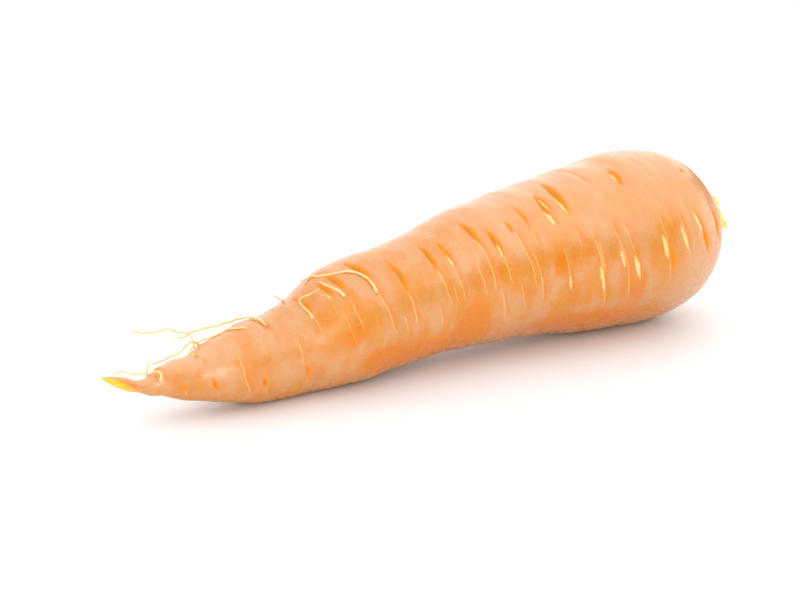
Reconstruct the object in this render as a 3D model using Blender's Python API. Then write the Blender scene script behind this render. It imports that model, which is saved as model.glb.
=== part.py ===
"""A fresh carrot with its leaves cut off, lying on a table as picked and washed.

The root lies along X: its tail is at -X and its crown at +X, +Z is up, and the table is the plane
z = 0. The origin is under the middle of the carrot's box. The pieces are the taproot, the stubs of
the trimmed leaf stalks round a central bud, and the fine rootlets that grow from the skin.
"""

import bpy
import bmesh
import numpy as np
from math import cos, pi, radians, sin
from mathutils import Vector

MM = 0.001

# The clear space between a piece and the one it stands on, in mm.
GAP = 0.3

# The taproot, from the tail to the middle of the crown's dimple: how far along the root, how far
# sideways and how high the centre of its section is, and the section's mean radius, in mm.
STATIONS = [
    (0.0, -1.2, 13.7, 0.35), (2.5, -1.1, 12.5, 1.15), (5.5, -1.0, 11.3, 1.5), (8.5, -0.9, 10.1, 1.5),
    (11.0, -0.7, 9.65, 2.15), (13.0, -0.6, 10.0, 3.05), (16.5, -0.4, 9.9, 4.2), (21.0, -0.2, 9.3, 5.1),
    (28.0, 0.0, 9.6, 7.4), (35.0, 0.2, 10.1, 9.4), (42.0, 0.4, 10.4, 10.3),
    (49.0, 0.5, 11.4, 11.5), (57.0, 0.6, 13.8, 13.8), (65.0, 0.8, 15.3, 15.2), (75.0, 0.9, 16.7, 15.3),
    (87.0, 1.0, 18.7, 16.2), (101.0, 0.9, 20.9, 18.1), (116.0, 0.7, 22.3, 20.0), (131.0, 0.3, 22.9, 21.6),
    (144.0, 0.0, 23.5, 23.4), (153.0, 0.0, 24.3, 24.4), (161.0, 0.0, 24.4, 24.0), (169.0, 0.0, 24.3, 22.2),
    (175.5, 0.0, 24.3, 18.7), (180.0, 0.0, 24.3, 14.5), (183.0, 0.0, 24.3, 10.6), (184.7, 0.0, 24.3, 7.8),
    (185.0, 0.0, 24.3, 6.9), (184.2, 0.0, 24.3, 4.5), (183.4, 0.0, 24.3, 0.0),
]
RING_SIDES = 40
RING_SPACING = 3.0
DIMPLE_RINGS = 4

# The root isn't quite round: each lobe is (how many, how strong, its turn, its twist in mm a radian).
LOBES = [(2, 0.012, 0.9, 60.0), (3, 0.008, -0.6, 35.0), (5, 0.005, 2.0, -25.0)]
LOBES_END = (160.0, 182.0)

# The two places where the root rests are pressed flat by this much.
REST_DEPTH = 0.35

# The tail is snapped off on a slant, through this point, facing down and to the side.
SNAP_POINT = (3.0, -1.0, 11.4)
SNAP_NORMAL = (-0.52, -0.52, -0.68)

# The middle of the crown, which the leaf stalks stand round.
CROWN = (183.4, 0.0, 24.3)

# The trimmed leaf stalks, the oldest and widest outermost: angle round the crown in degrees from the
# top, distance from its centre, width, thickness and height in mm, and the slant of the knife cut.
STALKS = [
    (285, 6.0, 4.2, 1.4, 6.1, -0.48), (337, 6.1, 4.2, 1.4, 7.1, 0.36), (60, 5.6, 4.0, 1.5, 9.0, 0.12),
    (125, 6.0, 4.1, 1.4, 7.6, -0.10), (203, 5.8, 4.1, 1.4, 8.2, 0.10), (312, 4.4, 2.9, 1.2, 7.4, 0.15),
    (90, 3.7, 2.3, 1.2, 7.2, -0.12), (240, 3.8, 2.4, 1.2, 6.6, 0.10), (20, 2.0, 2.0, 0.9, 6.0, 0.10),
    (152, 2.0, 2.0, 0.9, 6.4, -0.15), (266, 1.9, 2.0, 0.9, 5.4, 0.20),
]
STALK_SIDES = 9
STALK_LEVELS = 5
STALK_FLARE = 0.16
STALK_LEAN = 0.10

# A stalk's section, as shares of its width and thickness: how round its outside is, how wide its
# channel is, how far out the channel's rims are and how deep it is.
STALK_ROUND = 0.35
CHANNEL_WIDTH = 0.92
CHANNEL_RIM = 0.20
CHANNEL_DEPTH = 0.45

# The bud is a dome: its radius, foot and height in mm, how far its sides close in, and its mesh.
BUD_RADIUS = 0.75
BUD_FOOT = 0.5
BUD_HEIGHT = 2.4
BUD_CLOSING = radians(70)
BUD_SIDES = 10
BUD_LEVELS = 5

# The rootlets: thickness at the base in mm, then points from the base to the free end, each
# (how far along the root, angle round it in degrees from the top, height over the skin in mm).
ROOTLETS = [
    (0.60, [(39.8, -26, 0.7), (38.9, -6, 0.8), (38.3, 8, 0.8), (37, 20, 1.1), (33.8, 22, 1.6),
            (30.5, 22, 2.5), (27.3, 22, 3.6), (24, 23, 4.7), (21.8, 23, 5.7), (20, 21, 6.8),
            (18.1, 21, 7.6), (16.9, 22, 7.5), (15.3, 23, 7.8), (13.2, 23, 8.7), (11.3, 22, 10.4),
            (9.6, 21, 11.5)]),
    (0.50, [(22.6, -17, 0.7), (22.4, 8, 0.8), (22.9, 18, 1.1), (23.9, 16, 1.8), (25.8, 15, 1.6),
            (27.9, 13, 1.0), (29.9, 10, 0.7), (31.7, 5, 0.7), (33.3, -7, 0.7), (35.1, -18, 0.7)]),
    (0.50, [(25.8, 30, 0.7), (25.2, 25, 1.6), (23.6, 20, 2.6), (22.1, 18, 2.5), (20.6, 19, 2.0),
            (19.7, 21, 1.6), (18.1, 24, 1.3), (16.1, 29, 1.1), (14.1, 33, 1.4), (12.6, 34, 2.0)]),
    (0.60, [(12.6, -72, 0.7), (13.4, -56, 0.7), (13.7, -41, 0.7), (13.4, -21, 0.8), (12.4, -9, 0.9),
            (11, -5, 1.3), (9.3, -3, 1.8), (7.9, -1, 2.0), (6.1, 0, 1.8), (4.4, 1, 1.5), (2.5, 4, 0.9)]),
    (0.60, [(65.5, -53, 0.7), (65.2, -44, 0.7), (64.6, -35, 0.7), (63.6, -26, 0.7), (62.6, -21, 0.7),
            (60.1, -14, 0.8), (57.6, -7, 0.8), (56.2, 3, 0.9), (55.8, 10, 1.0), (54.6, 12, 1.4),
            (53.1, 11, 1.9)]),
    (0.60, [(58.1, -42, 0.7), (57.5, -35, 0.7), (56.9, -30, 0.7), (55.9, -19, 0.7), (55.4, -8, 0.7)]),
    (0.45, [(50.1, -44, 0.6), (49.8, -35, 0.6), (49.4, -27, 0.6), (49.3, -19, 0.7), (49.9, -12, 0.8),
            (50.9, -11, 0.7), (52.4, -15, 0.6), (54.6, -18, 0.6)]),
    (0.40, [(55.3, -41, 0.6), (55, -35, 0.6), (54.2, -28, 0.6), (53.4, -24, 0.6)]),
    (0.45, [(48.6, 16, 0.6), (47.8, 12, 1.1), (46, 11, 2.6), (45.2, 10, 3.7)]),
    (0.40, [(11.3, 30, 0.6), (11.3, 16, 1.6), (11.5, 6, 2.9), (12, 2, 4.0)]),
    (0.35, [(25, 37, 0.6), (24.8, 33, 1.5), (24.6, 29, 2.5), (24.2, 27, 3.3), (23.9, 25, 4.0)]),
    (0.35, [(23, 27, 4.2), (22.4, 27, 4.6), (20.5, 27, 5.1), (19.2, 29, 4.8)]),
    (0.50, [(74, 110, 0.7), (76, 116, 1.6), (80, 118, 2.2), (86, 113, 1.4), (90, 106, 1.8)]),
    (0.50, [(57, 98, 0.7), (53, 96, 1.8), (47, 99, 3.2), (42, 95, 3.6), (36, 90, 4.8)]),
    (0.45, [(118, 94, 0.6), (121, 98, 1.2), (127, 97, 1.0)]),
]
ROOTLET_POINTS = 24
ROOTLET_TAPER = 0.70

# How many times each stretch of a smooth curve is read when it's measured, not meshed.
FINE_STEPS = 12

SHARP_ANGLE = radians(40)


# ---------------------------------------------------------------- shape helpers

def smooth_curve(points, places, counts):
    """Smooth values through every point: each stretch is a cubic, as long as its places are apart.

    Stretch i is sampled counts[i] times.
    """
    p = np.asarray(points, float)
    h = np.linalg.norm(np.diff(np.asarray(places, float), axis=0), axis=1)
    slope = np.diff(p, axis=0) / h[:, None]
    inner = (slope[:-1] * h[1:, None] + slope[1:] * h[:-1, None]) / (h[:-1] + h[1:])[:, None]
    tangent = np.vstack([slope[:1], inner, slope[-1:]])
    out = []
    for i, count in enumerate(counts):
        for k in range(count):
            t = k / count
            out.append((2 * t**3 - 3 * t**2 + 1) * p[i] + (t**3 - 2 * t**2 + t) * h[i] * tangent[i]
                       + (3 * t**2 - 2 * t**3) * p[i + 1] + (t**3 - t**2) * h[i] * tangent[i + 1])
    out.append(p[-1])
    return np.array(out)


def root_line(counts, stations=STATIONS):
    """Rows of (along, sideways, height, radius) along the root, in mm."""
    profile = [(along, radius) for along, _, _, radius in stations]
    return smooth_curve(stations, profile, counts)


def lobed(angle, along):
    """How far the root's section is from round at an angle, as a factor on its radius."""
    start, end = LOBES_END
    fade = 1.0 - np.clip((along - start) / (end - start), 0.0, 1.0)
    wave = sum(size * np.cos(n * angle + turn + along / twist) for n, size, turn, twist in LOBES)
    return 1.0 + fade * wave


def section(along):
    """Centre (y, z) and mean radius of the root's section, in mm, from the tail to the rim."""
    rim = STATIONS.index(max(STATIONS))
    line = root_line([FINE_STEPS] * rim, STATIONS[:rim + 1])
    return [float(np.interp(along, line[:, 0], line[:, c])) for c in (1, 2, 3)]


def on_skin(along, angle, lift):
    """The point at a height over the skin, all in mm and radians."""
    y, z, radius = section(along)
    reach = radius * float(lobed(angle, along)) + lift
    return Vector((along, y + reach * sin(angle), z + reach * cos(angle))) * MM


def crown_floor(radius):
    """How far along the root the crown's surface is, at a distance from its centre, in mm."""
    dimple = sorted((r, x) for x, _, _, r in STATIONS[-4:])
    return float(np.interp(radius, [r for r, _ in dimple], [x for _, x in dimple]))


# ---------------------------------------------------------------- objects

def clear_scene():
    for obj in list(bpy.data.objects):
        bpy.data.objects.remove(obj, do_unlink=True)


def make_material(name, colour, roughness):
    material = bpy.data.materials.new(name)
    material.use_nodes = True
    shader = material.node_tree.nodes["Principled BSDF"]
    shader.inputs["Base Color"].default_value = (*colour, 1.0)
    shader.inputs["Roughness"].default_value = roughness
    shader.inputs["Metallic"].default_value = 0.0
    return material


def add_object(name, data, material, parent):
    data.materials.append(material)
    obj = bpy.data.objects.new(name, data)
    obj.parent = parent
    bpy.context.collection.objects.link(obj)
    return obj


def mesh_from_rings(rings):
    """One closed body from a list of rings of points, capped at both ends."""
    bm = bmesh.new()
    loops = [[bm.verts.new(point) for point in ring] for ring in rings]
    sides = len(rings[0])
    for low, high in zip(loops, loops[1:]):
        for i in range(sides):
            j = (i + 1) % sides
            bm.faces.new((low[i], low[j], high[j], high[i]))
    bm.faces.new(list(reversed(loops[0])))
    bm.faces.new(loops[-1])
    bmesh.ops.recalc_face_normals(bm, faces=bm.faces)
    return bm


def finish_mesh(bm, name):
    mesh = bpy.data.meshes.new(name)
    bm.to_mesh(mesh)
    bm.free()
    mesh.shade_smooth()
    mesh.set_sharp_from_angle(angle=SHARP_ANGLE)
    return mesh


def slice_off(bm, point, normal):
    """Cuts away what lies past a plane and closes the cut with a flat face."""
    geometry = bm.verts[:] + bm.edges[:] + bm.faces[:]
    bmesh.ops.bisect_plane(bm, geom=geometry, plane_co=point, plane_no=normal, clear_outer=True)
    open_edges = [edge for edge in bm.edges if edge.is_boundary]
    bmesh.ops.holes_fill(bm, edges=open_edges, sides=0)


# ---------------------------------------------------------------- the taproot

def taproot_rings():
    lengths = np.linalg.norm(np.diff(np.array(STATIONS)[:, [0, 3]], axis=0), axis=1)
    counts = [max(1, round(length / RING_SPACING)) for length in lengths]
    counts[-1] = DIMPLE_RINGS
    angles = np.arange(RING_SIDES) * 2 * pi / RING_SIDES
    rings = []
    for along, y, z, radius in root_line(counts)[:-1]:
        reach = radius * lobed(angles, along)
        rings.append([Vector((along, y + r * sin(a), z + r * cos(a))) * MM for r, a in zip(reach, angles)])
    return rings


def make_taproot(material, parent):
    rings = taproot_rings()
    bm = mesh_from_rings(rings)
    lowest = min(point.z for ring in rings for point in ring)
    slice_off(bm, (0.0, 0.0, lowest + REST_DEPTH * MM), (0.0, 0.0, -1.0))
    slice_off(bm, Vector(SNAP_POINT) * MM, SNAP_NORMAL)
    return add_object("taproot", finish_mesh(bm, "taproot"), material, parent)


# ---------------------------------------------------------------- the crown

def stalk_outline(width, thickness):
    """A leaf stalk's section, round outside and channelled inside: points (across, outwards)."""
    half = width / 2
    outer = [(half * cos(t), thickness * STALK_ROUND * (1.0 + sin(t)))
             for t in np.linspace(pi, 0, STALK_SIDES)]
    inner = [(half * CHANNEL_WIDTH * cos(t), thickness * (CHANNEL_RIM - CHANNEL_DEPTH * sin(t) ** 2))
             for t in np.linspace(0, pi, STALK_SIDES)[1:-1]]
    return outer + inner


def make_stalk(name, stalk, material, parent):
    """A trimmed leaf stalk, which stands on the crown with a small gap under it."""
    angle, distance, width, thickness, top, slant = stalk
    outline = stalk_outline(width, thickness)
    rings = []
    for level in range(STALK_LEVELS):
        t = level / (STALK_LEVELS - 1)
        swell = 1.0 + STALK_FLARE * (1.0 - t) ** 2
        ring = []
        for across, outwards in outline:
            y = across * swell
            z = distance + outwards * swell
            foot = crown_floor(np.hypot(y, z)) - CROWN[0] + GAP
            height = foot + (top + slant * y - foot) * t
            ring.append(Vector((height, y, z + STALK_LEAN * height * t)) * MM)
        rings.append(ring)
    obj = add_object(name, finish_mesh(mesh_from_rings(rings), name), material, parent)
    obj.location = Vector(CROWN) * MM
    obj.rotation_euler.x = -radians(angle)


def make_crown(stalk_material, bud_material, parent):
    for number, stalk in enumerate(STALKS, 1):
        make_stalk(f"leaf_stalk_{number:02d}", stalk, stalk_material, parent)
    make_bud(bud_material, parent)


def make_bud(material, parent):
    """The growing point: a small rounded dome in the middle of the stalks."""
    rings = []
    for slope in np.linspace(0.0, BUD_CLOSING, BUD_LEVELS):
        radius = BUD_RADIUS * cos(slope)
        height = BUD_FOOT + BUD_HEIGHT * sin(slope)
        rings.append([Vector((height, radius * sin(a), radius * cos(a))) * MM
                      for a in np.arange(BUD_SIDES) * 2 * pi / BUD_SIDES])
    bm = mesh_from_rings(rings)
    bud = add_object("crown_bud", finish_mesh(bm, "crown_bud"), material, parent)
    bud.location = Vector(CROWN) * MM


# ---------------------------------------------------------------- the rootlets

def rootlet_path(points):
    """The rootlet's centre line, evenly read from a smooth curve through its points."""
    knots = [(along, radians(angle), lift) for along, angle, lift in points]
    places = [on_skin(*knot) / MM for knot in knots]
    dense = np.array([on_skin(*row) for row in smooth_curve(knots, places, [FINE_STEPS] * (len(knots) - 1))])
    steps = np.r_[0.0, np.cumsum(np.linalg.norm(np.diff(dense, axis=0), axis=1))]
    wanted = np.linspace(0.0, steps[-1], ROOTLET_POINTS)
    return np.column_stack([np.interp(wanted, steps, dense[:, c]) for c in range(3)])


def make_rootlet(name, thickness, points, material, parent):
    curve = bpy.data.curves.new(name, "CURVE")
    curve.dimensions = "3D"
    curve.bevel_depth = thickness / 2 * MM
    curve.bevel_resolution = 1
    curve.use_fill_caps = True
    spline = curve.splines.new("POLY")
    spline.points.add(ROOTLET_POINTS - 1)
    for i, place in enumerate(rootlet_path(points)):
        spline.points[i].co = (*place, 1.0)
        spline.points[i].radius = 1.0 - (1.0 - ROOTLET_TAPER) * i / (ROOTLET_POINTS - 1)
    return add_object(name, curve, material, parent)


# ---------------------------------------------------------------- the whole carrot

def world_box(objects):
    """Lowest and highest corners of the objects, as they are shown."""
    depsgraph = bpy.context.evaluated_depsgraph_get()
    corners = []
    for obj in objects:
        shown = obj.evaluated_get(depsgraph)
        mesh = shown.to_mesh()
        corners += [obj.matrix_world @ vertex.co for vertex in mesh.vertices]
        shown.to_mesh_clear()
    corners = np.array(corners)
    return corners.min(axis=0), corners.max(axis=0)


def centre_on_origin(parent):
    """Moves the carrot so that the origin is under the middle of its box, on the table."""
    bpy.context.view_layer.update()
    low, high = world_box(parent.children)
    parent.location = (-(low[0] + high[0]) / 2, -(low[1] + high[1]) / 2, -low[2])
    bpy.context.view_layer.update()


def build_carrot():
    clear_scene()
    carrot = bpy.data.objects.new("carrot", None)
    bpy.context.collection.objects.link(carrot)
    skin = make_material("carrot_skin", (0.87, 0.33, 0.09), 0.42)
    stalk = make_material("leaf_stalk", (0.62, 0.70, 0.16), 0.55)
    bud = make_material("crown_bud", (0.45, 0.42, 0.12), 0.65)
    rootlet = make_material("rootlet", (0.90, 0.66, 0.28), 0.6)
    make_taproot(skin, carrot)
    make_crown(stalk, bud, carrot)
    for number, (thickness, points) in enumerate(ROOTLETS, 1):
        make_rootlet(f"rootlet_{number:02d}", thickness, points, rootlet, carrot)
    centre_on_origin(carrot)


build_carrot()
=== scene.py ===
"""The looks of a fresh carrot: its skin, crown, leaf stalks and rootlets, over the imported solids.

Shapes are worked out in millimetres in the root's own frame, as the solids were: X runs along the
root from the tail's tip (0) to the crown, and an angle round the root is counted from the top,
positive towards +Y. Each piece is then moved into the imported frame, which is in metres.
"""

from math import cos, pi, radians, sin

import bpy
import numpy as np
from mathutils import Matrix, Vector


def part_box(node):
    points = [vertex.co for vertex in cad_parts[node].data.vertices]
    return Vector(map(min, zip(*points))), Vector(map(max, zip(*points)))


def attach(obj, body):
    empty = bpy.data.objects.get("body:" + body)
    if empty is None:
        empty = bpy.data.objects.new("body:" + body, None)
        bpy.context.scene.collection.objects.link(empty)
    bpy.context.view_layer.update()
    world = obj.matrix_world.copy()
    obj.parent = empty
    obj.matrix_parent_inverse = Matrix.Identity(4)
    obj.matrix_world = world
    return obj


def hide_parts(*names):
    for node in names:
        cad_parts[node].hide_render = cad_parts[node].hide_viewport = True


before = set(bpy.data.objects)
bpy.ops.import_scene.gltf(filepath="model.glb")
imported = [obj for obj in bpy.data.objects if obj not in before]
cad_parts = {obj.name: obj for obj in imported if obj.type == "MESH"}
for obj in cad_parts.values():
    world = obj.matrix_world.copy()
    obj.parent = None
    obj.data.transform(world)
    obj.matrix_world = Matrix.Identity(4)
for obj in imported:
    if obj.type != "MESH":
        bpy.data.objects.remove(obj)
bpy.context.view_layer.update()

MM = 0.001

# ---- the root's shape, as in the solids

# How far along the root, how far sideways and how high its section's centre is, and its mean radius.
STATIONS = [
    (0.0, -1.2, 13.7, 0.35), (2.5, -1.1, 12.5, 1.15), (5.5, -1.0, 11.3, 1.5), (8.5, -0.9, 10.1, 1.5),
    (11.0, -0.7, 9.65, 2.15), (13.0, -0.6, 10.0, 3.05), (16.5, -0.4, 9.9, 4.2), (21.0, -0.2, 9.3, 5.1),
    (28.0, 0.0, 9.6, 7.4), (35.0, 0.2, 10.1, 9.4), (42.0, 0.4, 10.4, 10.3), (49.0, 0.5, 11.4, 11.5),
    (57.0, 0.6, 13.8, 13.8), (65.0, 0.8, 15.3, 15.2), (75.0, 0.9, 16.7, 15.3), (87.0, 1.0, 18.7, 16.2),
    (101.0, 0.9, 20.9, 18.1), (116.0, 0.7, 22.3, 20.0), (131.0, 0.3, 22.9, 21.6),
    (144.0, 0.0, 23.5, 23.4), (153.0, 0.0, 24.3, 24.4), (161.0, 0.0, 24.4, 24.0),
    (169.0, 0.0, 24.3, 22.2), (175.5, 0.0, 24.3, 18.7), (180.0, 0.0, 24.3, 14.5),
    (183.0, 0.0, 24.3, 10.6), (184.7, 0.0, 24.3, 7.8), (185.0, 0.0, 24.3, 6.9), (184.2, 0.0, 24.3, 4.5),
    (183.4, 0.0, 24.3, 0.0),
]
RIM = STATIONS.index(max(STATIONS))
ROOT_LENGTH = STATIONS[RIM][0]

# The root isn't quite round. A row of lobes: how many, how strong, their turn, their twist in mm a
# radian. They fade out between two places along the root.
LOBES = [(2, 0.012, 0.9, 60.0), (3, 0.008, -0.6, 35.0), (5, 0.005, 2.0, -25.0)]
LOBES_END = (160.0, 182.0)

# The two places where the root rests are pressed flat by this much.
REST_DEPTH = 0.35

# The tail is snapped off on a slant: a point on the break and its normal, how far along the root it can
# reach, the depth of its fibres, their waves a mm along and across, and how wide its raw rim shows.
SNAP_POINT = (3.0, -1.0, 11.4)
SNAP_NORMAL = (-0.52, -0.52, -0.68)
SNAP_REACH = 14.0
SNAP_FIBRES = 0.10
SNAP_WAVES = (5.0, 7.0)
SNAP_EDGE = 0.7
SNAP_BLEND = 0.4

# The skin's mesh: how many points round it, and how far apart its rings are.
SKIN_SIDES = 120
SKIN_STEP = 0.27

# Steps in each stretch of a smooth curve: of the root's spine, and of a rootlet.
SPINE_STEPS = 12
PATH_STEPS = 30

# Where the crown's dimple starts along the root, and the radii between which the skin turns into it.
CROWN_START = 176.0
CROWN_EDGE = (11.0, 7.0)

# The skin's own unevenness: depth, seed, length of its waves and how often they go round at most. In the
# crown they run outwards, CROWN_STRETCH times as close. Then how many add up, and how their length varies.
SKIN_WAVES = [(0.13, 21, 24.0, 3), (0.05, 22, 9.0, 3), (0.012, 23, 4.0, 4)]
TAIL_WAVES = (0.08, 26, 4.0, 3)
CROWN_WAVES = (0.10, 25, 2.4, 12)
CROWN_STRETCH = 3
WAVE_COUNT = 12
WAVE_LENGTHS = (0.7, 1.7)

# Rings in the crown's dimple: depth, and radians of wave a mm.
CROWN_RINGS = (0.10, 5.5)

# Where along the root the marks start and end, and where the tail's waves end.
MARKS_START = (8.0, 13.0)
MARKS_END = (183.0, 177.0)
TAIL_END = (26.0, 8.0)

# The radii between which waves, marks and the tail's waves come up to their full depth.
THICK_WAVES = (0.5, 5.0)
THICK_MARKS = (1.0, 12.0)
THICK_TAIL = (0.6, 2.0)

# Paler skin on the tail (all round, and how much more on top, as painted sheen), painted sheen along
# the top of the body, and paler skin round the shoulder: how pale it is and where along the root it
# fades. A side: its middle angle, and how far off that it is full and ends.
PALE_TAIL_SPAN = (52.0, 10.0)
PALE_TAIL_AND_SHEEN = (0.05, 0.80)
TAIL_SHEEN_SIDE = (15.0, 20.0, 80.0)
PAINTED_TOP_SHEEN = 0.30
PAINTED_TOP_SHEEN_SPAN = (75.0, 105.0)
PAINTED_TOP_SHEEN_SIDE = (-35.0, 15.0, 40.0)
PALE_SHOULDER = [(0.45, 148.0, 172.0), (0.45, 173.0, 182.0)]

# ---- marks on the skin

# Every mark is a stroke. Its row starts with where it begins and ends: along, angle, along, angle.

# Hollows, where the skin dips and turns golden and darker in the middle, partly its own colour and
# partly painted shade: half width, strength.
HOLLOWS = [
    (12.0, -22, 12.3, -50, 0.4, 0.6), (13.0, 12, 13.0, -20, 0.4, 0.8), (22.0, 15, 22.6, -28, 0.35, 0.8),
    (17.5, -92, 18.0, -116, 0.45, 0.9), (24.0, -80, 25.3, -113, 0.5, 1.0),
    (30.0, -58, 30.2, -70, 0.5, 0.5), (35.6, -95, 36.2, -114, 0.6, 1.0),
    (39.0, -4, 39.7, -24, 0.6, 0.7), (46.0, -90, 47.2, -114, 0.6, 0.8), (49.2, 3, 49.5, -11, 0.4, 0.9),
    (49.8, -14, 50.2, -38, 0.6, 0.8), (54.6, -8, 55.9, -38, 0.6, 1.0), (57.3, -8, 58.5, -36, 0.8, 1.0),
    (63.1, -1, 65.3, -42, 0.9, 1.0), (72.1, -22, 73.6, -62, 0.7, 1.0), (81.8, -20, 82.8, -54, 0.7, 1.0),
    (86.2, -24, 87.1, -56, 0.6, 0.8), (94.8, -16, 95.8, -46, 0.8, 1.0),
    (99.2, -34, 100.2, -62, 0.8, 1.0), (105.0, -34, 105.2, -48, 0.6, 0.7),
    (110.1, -20, 110.3, -50, 0.7, 0.6), (117.9, -16, 116.4, -46, 0.9, 1.0),
    (123.6, -4, 121.9, -46, 1.1, 1.0), (143.3, -14, 142.2, -36, 1.0, 0.9),
    (149.4, -80, 151.3, -100, 0.9, 0.8), (162.0, -76, 164.4, -92, 0.9, 1.0),
    (163.4, -30, 164.6, -35, 0.8, 0.9), (169.4, -60, 171.6, -88, 1.0, 0.8),
    (176.8, -34, 177.4, -64, 0.4, 0.8), (179.6, -30, 180.2, -70, 0.4, 0.9),
    (178.0, -72, 178.8, -100, 0.4, 0.7),
]

# Thin pale lines, each with a fold beside it: strength.
LINES = [
    (10.0, -60, 10.5, -82, 0.6), (13.5, 2, 13.2, -78, 0.8), (22.8, -28, 23.0, -44, 0.6),
    (11.0, -98, 12.5, -128, 0.6), (18.2, -108, 18.8, -130, 0.6), (30.5, -56, 32.6, -124, 0.8),
    (36.7, -38, 36.7, -68, 0.3), (36.4, -108, 37.2, -132, 0.7), (39.5, -27, 39.6, -50, 0.4),
    (44.8, -58, 45.7, -92, 0.7), (50.0, -38, 51.6, -80, 0.4), (55.9, -50, 58.1, -90, 0.4),
    (58.7, -43, 60.1, -82, 0.7), (65.4, -46, 68.6, -93, 1.0), (71.4, -78, 72.8, -98, 0.6),
    (73.5, -58, 75.4, -95, 1.0), (81.2, -80, 82.9, -106, 0.4), (82.6, -48, 85.0, -88, 0.8),
    (85.7, -68, 86.9, -87, 0.6), (87.2, -57, 88.8, -88, 0.8), (93.2, -61, 95.0, -90, 0.7),
    (95.2, -38, 97.7, -88, 1.0), (98.7, -86, 101.4, -115, 0.7), (100.4, -60, 102.1, -87, 0.7),
    (104.2, -84, 106.8, -112, 0.6), (105.5, -43, 109.1, -94, 1.0), (108.9, -63, 111.7, -107, 1.0),
    (110.3, -50, 110.9, -62, 0.6), (117.4, -66, 119.4, -100, 0.7), (122.3, -53, 122.9, -72, 0.6),
    (126.3, -58, 131.6, -122, 1.0), (128.2, -68, 129.6, -92, 0.7), (132.9, -53, 138.6, -117, 0.8),
    (136.7, -60, 138.6, -84, 0.7), (142.8, -42, 143.0, -62, 0.4), (147.4, -58, 151.1, -107, 0.7),
    (151.3, -8, 151.7, -37, 0.5), (152.2, -10, 152.4, -30, 0.4), (156.4, -16, 156.8, -34, 0.4),
    (154.1, -64, 157.1, -94, 0.7), (159.4, -60, 165.2, -97, 0.7), (167.9, -60, 172.1, -89, 0.6),
    (173.5, -50, 174.0, -95, 0.4), (175.5, -55, 176.2, -100, 0.5),
]

# Ragged corky scars: half width.
SCARS = [
    (86.8, -40, 87.1, -57, 0.35), (100.1, -50, 100.4, -62, 0.35), (116.6, -36, 117.4, -52, 0.65),
    (118.0, -22, 118.3, -38, 0.30), (122.1, -26, 122.4, -46, 0.50), (118.8, -88, 119.5, -100, 0.45),
    (127.7, -84, 130.1, -107, 0.60), (134.2, -76, 135.5, -91, 0.50), (138.3, -82, 140.4, -100, 0.75),
    (142.8, -19, 142.5, -29, 0.45), (147.6, -74, 149.1, -91, 0.70), (154.1, -72, 156.1, -88, 0.65),
    (159.9, -63, 162.6, -82, 0.60), (167.9, -64, 169.6, -80, 0.60),
]

# Broad pale (+) and deep (-) patches: middle as along and angle, half length, half angle, tone.
PATCHES = [
    (102.5, -106, 4.5, 15, 1.0), (82, -88, 4, 18, 0.8), (43, -104, 3, 9, 0.9), (68, -92, 4, 9, 0.7),
    (20, -125, 8, 15, 0.7), (160, -115, 14, 24, 0.9), (92, -110, 5, 22, -1.0),
    (116.5, -80, 2.5, 10, -1.0), (58, -82, 4, 10, -0.9), (66, -112, 6, 12, -0.8),
    (79, -125, 20, 16, -0.9), (130, -132, 24, 13, -0.9), (144.6, -32, 1.3, 10, -0.9),
    (141, -105, 3, 14, -0.8), (121, -104, 2, 12, -0.7),
]

# Marks placed at random, most of them on the far side and underside: seed, how many, first and last
# angle, shortest and longest turn, then the range of each of the mark's own values.
FAR_HOLLOWS = (11, 26, 26, 200, 14, 40, (0.4, 1.0), (0.5, 1.0))
FAR_LINES = (12, 56, 22, 215, 18, 55, (0.4, 1.0))
FAINT_LINES = (13, 70, -180, 180, 12, 34, (0.10, 0.25))
FAR_SCARS = (14, 18, 26, 205, 8, 20, (0.35, 0.7))

# Where along the root they are, and how far they lean along it, in mm for a degree of turn.
MARK_SPAN = (13.0, 172.0)
MARK_LEAN = (-0.03, 0.08)

# Patches placed at random: seed, how many, and the range of each value of a patch's row.
PATCH_SEED = 15
PATCH_COUNT = 30
PATCH_RANGES = (MARK_SPAN, (25, 205), (3, 9), (8, 22), (-1.0, 1.0))

# How far a mark wobbles, in mm for a degree of half its turn, and its waves: how fast, how far its
# number shifts them, and how strong. Then how far out its ends start to fade.
MARK_WOBBLE = 0.006
WOBBLE_WAVES = [(2.6, 1.0, 1.0), (6.3, 2.0, 0.5)]
MARK_FADE = 0.7

# The painted shade and the fold beside a line or a scar, towards the crown: where they start, are full
# and end.
SHADE_SPAN = (-0.1, 0.35, 1.9)
FOLD_DEPTH = 0.06

# Lines: depth and half width of the groove, the faintest that counts and how far from a line its
# strength ends. FAR_AWAY is the distance where no line is near.
LINE_DEPTH = 0.03
LINE_GROOVE = 0.4
LINE_FAINTEST = 0.02
LINE_REACH = (1.3, 0.8)
FAR_AWAY = 9.0

# Hollows: depth for a mm of width, how much further they reach towards the crown, how wide they are at
# their tips and how slowly they fade towards them.
HOLLOW_DEPTH = 0.42
HOLLOW_SKEW = 1.5
HOLLOW_TIP = 0.4
HOLLOW_FADE = 0.7

# Scars: the value where there's none, their depth, and as shares of their half width, where their shade
# starts, and where the middle of their pit is and how wide it is.
NO_SCAR = -0.6
SCAR_DEPTH = 0.12
SCAR_SHADE = 0.5
SCAR_PIT = (0.4, 1.5)

# ---- crown and rootlets

# The middle of the crown's dimple, which the leaf stalks stand round.
CROWN = (183.4, 0.0, 24.3)

# A random phase of a wave.
PHASE = (0, 6)

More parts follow.
